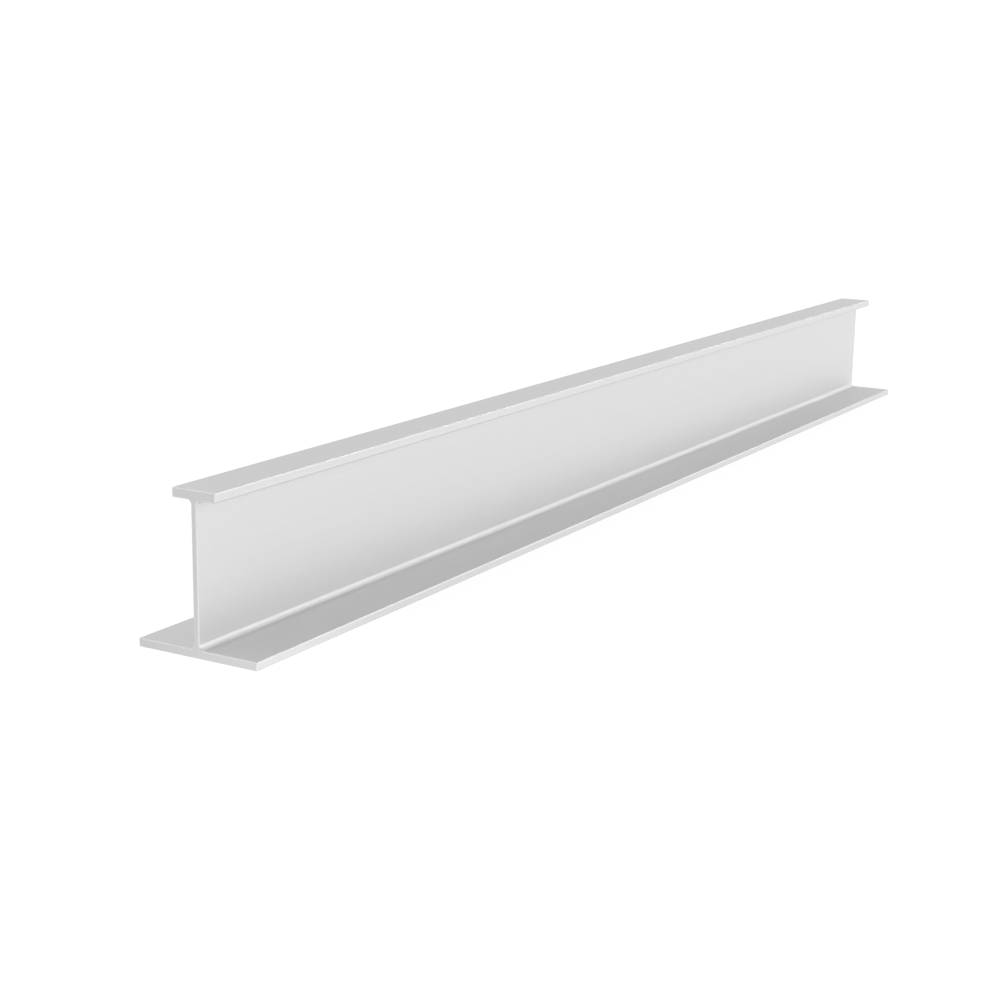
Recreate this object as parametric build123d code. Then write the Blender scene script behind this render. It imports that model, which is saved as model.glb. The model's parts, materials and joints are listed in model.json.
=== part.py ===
from build123d import *
import os
from math import isclose

# Aluminium h-profile: one sawn length of extruded bar, with a wide base flange, a thin web and a
# narrow head flange. Millimetres. X runs along the bar, Y across it and Z up, from the middle of
# its underside.

# The bar as a whole
length = 1000.0
height = 90.0

# Base flange, which the bar lies on
base_width = 78.0
base_thickness = 5.0

# Head flange, on top
head_width = 28.0
head_thickness = 5.5

# Web, which joins the two flanges on the middle plane
web_thickness = 3.5

# Inside corners, where the web runs into each flange
base_root_radius = 3.0
head_root_radius = 2.5

# Long outside edges of each flange, as the die leaves them
base_edge_radius = 0.8
head_edge_radius = 0.8

# Chamfer filed round each sawn end
end_deburr = 0.5

# How near a corner of the section has to be to the place it is looked for
corner_match = 0.001


def plate(width, low, high):
    """One flat limb of the section, centred on the middle plane, between two heights."""
    return Pos(0, (low + high) / 2) * Rectangle(width, high - low)


def corners(section, width, *levels):
    """The section's corners that are this wide apart, at these heights."""
    return [
        corner
        for corner in section.vertices()
        if isclose(abs(corner.X), width / 2, abs_tol=corner_match)
        and any(isclose(corner.Y, level, abs_tol=corner_match) for level in levels)
    ]


def profile_section():
    """The section square to the bar, drawn with the middle of its underside at the origin."""
    base_top = base_thickness
    head_underside = height - head_thickness

    base = plate(base_width, 0, base_top)
    web = plate(web_thickness, base_top, head_underside)
    head = plate(head_width, head_underside, height)
    section = base + web + head

    section = fillet(corners(section, web_thickness, base_top), base_root_radius)
    section = fillet(corners(section, web_thickness, head_underside), head_root_radius)
    section = fillet(corners(section, base_width, 0, base_top), base_edge_radius)
    section = fillet(corners(section, head_width, head_underside, height), head_edge_radius)
    return section


def h_profile():
    """The bar: its section drawn out along X, with both sawn ends deburred."""
    bar = extrude(Plane.YZ * profile_section(), length / 2, both=True)
    sawn_ends = bar.faces().filter_by(Axis.X)
    return chamfer(sawn_ends.edges(), end_deburr)


os.makedirs("parts", exist_ok=True)
export_step(h_profile(), "parts/h_profile.step")
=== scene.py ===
import json
import math

import bpy
from mathutils import Matrix, Vector


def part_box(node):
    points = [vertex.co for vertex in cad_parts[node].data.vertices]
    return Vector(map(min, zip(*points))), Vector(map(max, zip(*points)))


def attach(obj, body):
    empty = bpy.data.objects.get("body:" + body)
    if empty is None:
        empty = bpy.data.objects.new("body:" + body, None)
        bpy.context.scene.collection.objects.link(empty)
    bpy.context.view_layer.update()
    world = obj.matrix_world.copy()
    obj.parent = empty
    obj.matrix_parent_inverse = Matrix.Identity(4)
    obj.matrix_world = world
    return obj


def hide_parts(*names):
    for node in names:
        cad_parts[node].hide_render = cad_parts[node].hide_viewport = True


# Satin aluminium h-profile on a pale floor. Metres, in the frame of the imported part:
# X along the bar, Y across it, Z up, with the origin in the middle of the underside.

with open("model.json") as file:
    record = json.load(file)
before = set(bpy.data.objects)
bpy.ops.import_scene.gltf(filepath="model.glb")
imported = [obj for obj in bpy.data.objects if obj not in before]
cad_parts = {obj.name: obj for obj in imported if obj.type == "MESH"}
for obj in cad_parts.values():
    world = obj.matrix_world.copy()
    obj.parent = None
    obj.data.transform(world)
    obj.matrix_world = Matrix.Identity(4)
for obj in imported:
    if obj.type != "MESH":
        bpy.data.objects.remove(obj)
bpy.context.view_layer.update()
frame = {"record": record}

MM = 0.001
BAR_NODE = "h_profile"


def mount(name):
    """Where the record puts one of its mounts."""
    places = {m["name"]: m["pos_m"] for m in frame["record"]["mounts"]}
    return Vector(places[name])


def opening(name):
    """The lowest and highest corner of one of the record's openings."""
    boxes = {o["name"]: o["box_m"] for o in frame["record"]["physics"]["openings"]}
    lowest, highest = boxes[name]
    return Vector(lowest), Vector(highest)


# The bar's section, as the frame has it. Only the head's thickness isn't in the record.
bar_low, bar_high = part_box(BAR_NODE)
channel_low, channel_high = opening("channel_plus_y")
LENGTH = bar_high.x - bar_low.x
HEIGHT = bar_high.z
BASE_WIDTH = bar_high.y - bar_low.y
BASE_THICKNESS = mount("ledge_plus_y").z
WEB_THICKNESS = 2 * mount("web_plus_y").y
HEAD_WIDTH = 2 * channel_high.y
HEAD_THICKNESS = 5.5 * MM
BASE_ROOT_RADIUS = channel_low.z - BASE_THICKNESS
HEAD_ROOT_RADIUS = HEIGHT - HEAD_THICKNESS - channel_high.z

# Edges broken by the die and by the file, and how many flats each quarter circle is drawn with
EDGE_RADIUS = 0.8 * MM
DEBURR_RADIUS = 0.6 * MM
ARC_STEPS = 12
DEBURR_STEPS = 5

# Metal: the tones that each surface's pattern runs between, its roughness, and how high its relief is
EXTRUDED_TONES = (0.62, 0.67)
# The root radii's paler tones are painted light: they lift the shade in those hollows
ROOT_PAINTED_LIGHT_TONES = (0.71, 0.76)
SAWN_TONES = (0.585, 0.635)
# The filed edges' brighter tones are partly freshly filed metal and partly a painted highlight along the
# ends' edges
FILED_AND_HIGHLIGHT_TONES = (0.7, 0.74)
SATIN_ROUGHNESS = 0.5
ROOT_ROUGHNESS = 0.66
ROUGHNESS_SPREAD = 0.03
DIE_LINE_HEIGHT = 0.003 * MM
GRAIN_HEIGHT = 0.002 * MM
SAW_MARK_HEIGHT = 0.003 * MM
# Patterns on the metal, as repeats a metre along X, Y and Z
SMUDGES = (5.0, 14.0, 14.0)
STREAKS = (3.0, 420.0, 420.0)
SPECKS = (1600.0, 1600.0, 1600.0)
DIE_LINES = (2.0, 900.0, 900.0)
GRAIN = (2200.0, 2200.0, 2200.0)
# Saw marks are arcs about the blade's hub, which stood beside the bar and above it
SAW_HUB = Vector((0.0, 0.11, 0.16))
SAW_MARKS_PER_METRE = 1100.0
# The metal's tone is specks over a large pattern, of smudges and streaks or of saw marks:
# how much of the tone the large pattern makes, and how much of that pattern the streaks make
LARGE_SHARE = 0.25
STREAK_SHARE = 0.5
# Noise keeps mostly within this part of its 0 to 1 range
NOISE_LOW = 0.3
NOISE_HIGH = 0.7

# Camera: where it stands, which way it looks and how long its lens is
CAMERA_PLACE = Vector((-1.198, -0.5808, 0.298))
CAMERA_HEADING = math.radians(29.885)
CAMERA_DOWN = math.radians(13.243)
CAMERA_ROLL = math.radians(0.953)
CAMERA_LENS_MM = 65.189
CAMERA_SENSOR_MM = 36.0

# Studio: pale walls up to one height and a dimmer ceiling from another, in degrees
WALL_TOP = 18.0
CEILING_LOW = 28.0
WALL_GLOW = 1.02
CEILING_GLOW = 0.49
# Floor, lit from within like a light table so that shadows on it stay faint
FLOOR_TONE = 0.25
FLOOR_ROUGHNESS = 0.9
FLOOR_GLOW = 0.82
FLOOR_SIDE = 60.0
# A painted pool of light: the floor glows brighter beside the bar's near end, where there is no lamp; how
# much glow it adds, and where that fades out
PAINTED_POOL_GLOW = 0.19
PAINTED_POOL_PLACE = Vector((-LENGTH / 2, -0.07, 0.0))
PAINTED_POOL_CORE = 0.03
PAINTED_POOL_REACH = 0.14


def section_corners():
    """The section's sharp corners and their radii, anticlockwise from the right of the underside."""
    head_underside = HEIGHT - HEAD_THICKNESS
    right = [
        (Vector((BASE_WIDTH / 2, 0.0)), EDGE_RADIUS),
        (Vector((BASE_WIDTH / 2, BASE_THICKNESS)), EDGE_RADIUS),
        (Vector((WEB_THICKNESS / 2, BASE_THICKNESS)), BASE_ROOT_RADIUS),
        (Vector((WEB_THICKNESS / 2, head_underside)), HEAD_ROOT_RADIUS),
        (Vector((HEAD_WIDTH / 2, head_underside)), EDGE_RADIUS),
        (Vector((HEAD_WIDTH / 2, HEIGHT)), EDGE_RADIUS),
    ]
    left = [(Vector((-corner.x, corner.y)), radius) for corner, radius in reversed(right)]
    return right + left


def rounded_corner(before, corner, after, radius):
    """The arc that rounds one corner, as points with the direction out of the metal at each."""
    coming = (corner - before).normalized()
    going = (after - corner).normalized()
    centre = corner + radius * (going - coming)
    metal_inside = coming.cross(going)
    arc = []
    for step in range(ARC_STEPS + 1):
        turn = math.pi / 2 * step / ARC_STEPS
        spoke = math.sin(turn) * coming - math.cos(turn) * going
        arc.append((centre + radius * spoke, metal_inside * spoke))
    return arc


def section_outline():
    """The whole section, every corner rounded."""
    corners = section_corners()
    outline = []
    for index, (corner, radius) in enumerate(corners):
        before, _ = corners[index - 1]
        after, _ = corners[(index + 1) % len(corners)]
        outline += rounded_corner(before, corner, after, radius)
    return outline


def root_steps():
    """For each step round the outline, whether it lies on one of the web's root radii."""
    steps = []
    for _, radius in section_corners():
        steps += [radius in (BASE_ROOT_RADIUS, HEAD_ROOT_RADIUS)] * ARC_STEPS + [False]
    return steps


def deburred_stations():
    """Cuts across the bar, as (end, turn): an end of -1 or 1, and how far its edge has turned by then."""
    turns = [math.pi / 2 * step / DEBURR_STEPS for step in range(DEBURR_STEPS + 1)]
    return [(-1, turn) for turn in reversed(turns)] + [(1, turn) for turn in turns]


def build_bar():
    """The bar as one mesh: the section carried from end to end, its sawn edges rounded."""
    outline = section_outline()
    places, outward = [], []
    for end, turn in deburred_stations():
        x = end * (LENGTH / 2 - DEBURR_RADIUS * (1 - math.sin(turn)))
        inset = DEBURR_RADIUS * (1 - math.cos(turn))
        for point, away in outline:
            place = point - inset * away
            places.append((x, place.x, place.y))
            outward.append((end * math.sin(turn), away.x * math.cos(turn), away.y * math.cos(turn)))

    around = len(outline)
    rings = len(places) // around
    faces = []
    for ring in range(rings - 1):
        for index in range(around):
            here = ring * around + index
            beside = ring * around + (index + 1) % around
            faces.append((here, beside, beside + around, here + around))
    near_end = tuple(reversed(range(around)))
    far_end = tuple(range((rings - 1) * around, rings * around))

    mesh = bpy.data.meshes.new("bar")
    mesh.from_pydata(places, [], faces + [near_end, far_end])
    for material in (extruded_aluminium(), root_aluminium(), filed_and_highlight_aluminium(), sawn_aluminium()):
        mesh.materials.append(material)
    extruded, root, filed_and_highlight, sawn = range(len(mesh.materials))
    on_root = root_steps()
    for face in mesh.polygons:
        face.use_smooth = True
        face.material_index = root if on_root[face.index % around] else extruded
        # The ends' edge bands take the brighter tone, partly a painted highlight
        if abs(face.center.x) > LENGTH / 2 - DEBURR_RADIUS:
            face.material_index = filed_and_highlight
    sawn_ends = mesh.polygons[-2:]
    for face in sawn_ends:
        face.material_index = sawn
    mesh.normals_split_custom_set_from_vertices(outward)

    bar = bpy.data.objects.new("bar", mesh)
    bpy.context.scene.collection.objects.link(bar)
    return bar


def noise(tree, repeats):
    """Noise laid out in the bar's own metres."""
    place = tree.nodes.new("ShaderNodeTexCoord")
    stretch = tree.nodes.new("ShaderNodeMapping")
    stretch.inputs["Scale"].default_value = repeats
    pattern = tree.nodes.new("ShaderNodeTexNoise")
    pattern.inputs["Scale"].default_value = 1.0
    tree.links.new(place.outputs["Object"], stretch.inputs["Vector"])
    tree.links.new(stretch.outputs["Vector"], pattern.inputs["Vector"])
    return pattern.outputs["Fac"]


def saw_marks(tree):
    """Uneven arcs about the hub of the saw blade."""
    place = tree.nodes.new("ShaderNodeTexCoord")
    across = tree.nodes.new("ShaderNodeVectorMath")
    across.operation = "MULTIPLY"
    across.inputs[1].default_value = (0.0, 1.0, 1.0)
    reach = tree.nodes.new("ShaderNodeVectorMath")
    reach.operation = "DISTANCE"
    reach.inputs[1].default_value = SAW_HUB
    count = tree.nodes.new("ShaderNodeMath")
    count.operation = "MULTIPLY"
    count.inputs[1].default_value = SAW_MARKS_PER_METRE
    marks = tree.nodes.new("ShaderNodeTexNoise")
    marks.noise_dimensions = "1D"
    marks.inputs["Scale"].default_value = 1.0
    tree.links.new(place.outputs["Object"], across.inputs[0])
    tree.links.new(across.outputs["Vector"], reach.inputs[0])
    tree.links.new(reach.outputs["Value"], count.inputs[0])
    tree.links.new(count.outputs["Value"], marks.inputs["W"])
    return marks.outputs["Fac"]


def spread(tree, pattern, low, high):
    """A pattern's values, spread from low to high."""
    node = tree.nodes.new("ShaderNodeMapRange")
    node.inputs["From Min"].default_value = NOISE_LOW
    node.inputs["From Max"].default_value = NOISE_HIGH
    node.inputs["To Min"].default_value = low
    node.inputs["To Max"].default_value = high
    tree.links.new(pattern, node.inputs["Value"])
    return node.outputs["Result"]


def blend(tree, first, second, second_share):
    """Two patterns in one."""
    node = tree.nodes.new("ShaderNodeMix")
    node.inputs["Factor"].default_value = second_share
    tree.links.new(first, node.inputs["A"])
    tree.links.new(second, node.inputs["B"])
    return node.outputs["Result"]


def relief(tree, pattern, height, under=None):
    """The surface raised by a pattern, on top of any relief under it."""
    node = tree.nodes.new("ShaderNodeBump")
    node.inputs["Distance"].default_value = height
    tree.links.new(pattern, node.inputs["Height"])
    if under:
        tree.links.new(under, node.inputs["Normal"])
    return node.outputs["Normal"]


def metal(name, dark_and_light, roughness, tone_pattern, relief_patterns):
    """Satin metal whose tone and roughness follow one pattern and whose fine relief follows others."""
    material = bpy.data.materials.new(name)
    material.use_nodes = True
    tree = material.node_tree
    shader = tree.nodes["Principled BSDF"]
    shader.inputs["Metallic"].default_value = 1.0

    pattern = tone_pattern(tree)
    tones = tree.nodes.new("ShaderNodeValToRGB")
    places = (NOISE_LOW, NOISE_HIGH)
    for stop, place, tone in zip(tones.color_ramp.elements, places, dark_and_light):
        stop.position = place
        stop.color = (tone, tone, tone, 1.0)
    tree.links.new(pattern, tones.inputs["Fac"])
    tree.links.new(tones.outputs["Color"], shader.inputs["Base Color"])
    gloss = spread(tree, pattern, roughness + ROUGHNESS_SPREAD, roughness - ROUGHNESS_SPREAD)
    tree.links.new(gloss, shader.inputs["Roughness"])

    surface = None
    for make_pattern, height in relief_patterns:
        surface = relief(tree, make_pattern(tree), height, surface)
    tree.links.new(surface, shader.inputs["Normal"])
    return material


def extruded_tone(tree):
    """Fine specks over soft smudges and streaks that run along the bar."""
    large = blend(tree, noise(tree, SMUDGES), noise(tree, STREAKS), STREAK_SHARE)
    return blend(tree, noise(tree, SPECKS), large, LARGE_SHARE)


def sawn_tone(tree):
    """Fine specks over the saw blade's arcs."""
    return blend(tree, noise(tree, SPECKS), saw_marks(tree), LARGE_SHARE)


def extruded_aluminium():
    """The long faces: faint streaks and die lines run along the bar, over a fine grain."""
    return metal(
        "extruded_aluminium",
        EXTRUDED_TONES,
        SATIN_ROUGHNESS,
        extruded_tone,
        [
            (lambda tree: noise(tree, DIE_LINES), DIE_LINE_HEIGHT),
            (lambda tree: noise(tree, GRAIN), GRAIN_HEIGHT),
        ],
    )


def root_aluminium():
    """The web's root radii: rougher than the flats, and painted paler to lift the shade in these hollows
    and soften their highlight, under the same grain.
    """
    return metal(
        "root_aluminium",
        ROOT_PAINTED_LIGHT_TONES,
        ROOT_ROUGHNESS,
        extruded_tone,
        [(lambda tree: noise(tree, GRAIN), GRAIN_HEIGHT)],
    )


def filed_and_highlight_aluminium():
    """The edges of the two ends, broken with a file: brighter than the rest, partly as freshly filed
    metal and partly as a painted highlight along the edges, under the same grain.
    """
    return metal(
        "filed_and_highlight_aluminium",
        FILED_AND_HIGHLIGHT_TONES,
        SATIN_ROUGHNESS,
        lambda tree: noise(tree, SPECKS),
        [(lambda tree: noise(tree, GRAIN), GRAIN_HEIGHT)],
    )


def sawn_aluminium():
    """The two ends: the saw blade's arcs, over the same grain."""
    return metal(
        "sawn_aluminium",
        SAWN_TONES,
        SATIN_ROUGHNESS,
        sawn_tone,
        [
            (saw_marks, SAW_MARK_HEIGHT),
            (lambda tree: noise(tree, GRAIN), GRAIN_HEIGHT),
        ],
    )


def add_camera():
    """The photograph's camera. A heading of zero looks along +X."""
    data = bpy.data.cameras.new("camera")
    data.lens = CAMERA_LENS_MM
    data.sensor_width = CAMERA_SENSOR_MM
    camera = bpy.data.objects.new("camera", data)
    turn = Matrix.Rotation(CAMERA_HEADING - math.pi / 2, 4, "Z")
    tilt = Matrix.Rotation(math.pi / 2 - CAMERA_DOWN, 4, "X")
    roll = Matrix.Rotation(CAMERA_ROLL, 4, "Z")
    camera.matrix_world = Matrix.Translation(CAMERA_PLACE) @ turn @ tilt @ roll
    bpy.context.scene.collection.objects.link(camera)
    bpy.context.scene.camera = camera


def add_light(name, heading, height, width, strength):
    """A soft light far off. Heading, height and width are how it looks from the bar, in degrees."""
    turn, rise = math.radians(heading), math.radians(height)
    away = Vector((math.cos(turn) * math.cos(rise), math.sin(turn) * math.cos(rise), math.sin(rise)))
    data = bpy.data.lights.new(name, "SUN")
    data.angle = math.radians(width)
    data.energy = strength
    light = bpy.data.objects.new(name, data)
    light.matrix_world = (-away).to_track_quat("-Z", "Y").to_matrix().to_4x4()
    bpy.context.scene.collection.objects.link(light)


def add_walls():
    """The room round the bar: pale walls and a dimmer ceiling."""
    world = bpy.data.worlds.new("studio")
    world.use_nodes = True
    nodes, links = world.node_tree.nodes, world.node_tree.links
    direction = nodes.new("ShaderNodeTexCoord")
    parts = nodes.new("ShaderNodeSeparateXYZ")
    room = nodes.new("ShaderNodeValToRGB")
    links.new(direction.outputs["Generated"], parts.inputs["Vector"])
    links.new(parts.outputs["Z"], room.inputs["Fac"])
    links.new(room.outputs["Color"], nodes["Background"].inputs["Color"])
    walls, ceiling = room.color_ramp.elements
    walls.position = math.sin(math.radians(WALL_TOP))
    walls.color = (WALL_GLOW, WALL_GLOW, WALL_GLOW, 1.0)
    ceiling.position = math.sin(math.radians(CEILING_LOW))
    ceiling.color = (CEILING_GLOW, CEILING_GLOW, CEILING_GLOW, 1.0)
    bpy.context.scene.world = world


def floor_glow(tree):
    """How strongly the floor glows: evenly, plus a painted pool of light beside the bar's near end."""
    place = tree.nodes.new("ShaderNodeTexCoord")
    distance = tree.nodes.new("ShaderNodeVectorMath")
    distance.operation = "DISTANCE"
    distance.inputs[1].default_value = PAINTED_POOL_PLACE
    fade = tree.nodes.new("ShaderNodeMapRange")
    fade.interpolation_type = "SMOOTHSTEP"
    fade.inputs["From Min"].default_value = PAINTED_POOL_CORE
    fade.inputs["From Max"].default_value = PAINTED_POOL_REACH
    fade.inputs["To Min"].default_value = FLOOR_GLOW + PAINTED_POOL_GLOW
    fade.inputs["To Max"].default_value = FLOOR_GLOW
    tree.links.new(place.outputs["Object"], distance.inputs[0])
    tree.links.new(distance.outputs["Value"], fade.inputs["Value"])
    return fade.outputs["Result"]


def add_floor():
    """A plain pale floor, with a painted pool of light beside the bar's near end."""
    material = bpy.data.materials.new("floor")
    material.use_nodes = True
    tree = material.node_tree
    shader = tree.nodes["Principled BSDF"]
    shader.inputs["Base Color"].default_value = (FLOOR_TONE, FLOOR_TONE, FLOOR_TONE, 1.0)
    shader.inputs["Roughness"].default_value = FLOOR_ROUGHNESS
    shader.inputs["Specular IOR Level"].default_value = 0.0
    shader.inputs["Emission Color"].default_value = (1.0, 1.0, 1.0, 1.0)
    tree.links.new(floor_glow(tree), shader.inputs["Emission Strength"])
    half = FLOOR_SIDE / 2
    corners = [(-half, -half, 0), (half, -half, 0), (half, half, 0), (-half, half, 0)]
    mesh = bpy.data.meshes.new("floor")
    mesh.from_pydata(corners, [], [(0, 1, 2, 3)])
    mesh.materials.append(material)
    floor = bpy.data.objects.new("floor", mesh)
    bpy.context.scene.collection.objects.link(floor)


# No film look: tones come out as the studio lights them
bpy.context.scene.view_settings.view_transform = "Standard"
add_camera()
add_walls()
add_floor()
add_light("side_light", heading=-75, height=20, width=30, strength=0.46)
add_light("front_light", heading=-60, height=10, width=20, strength=0.15)
add_light("low_light", heading=-45, height=10, width=20, strength=0.23)
add_light("far_light", heading=-8, height=33, width=12, strength=0.35)
add_light("end_light", heading=30, height=40, width=32, strength=0.1)
add_light("back_light", heading=60, height=20, width=32, strength=0.17)
add_light("edge_light", heading=120, height=58, width=24, strength=0.55)

bar = build_bar()
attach(bar, "root")
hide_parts(BAR_NODE)
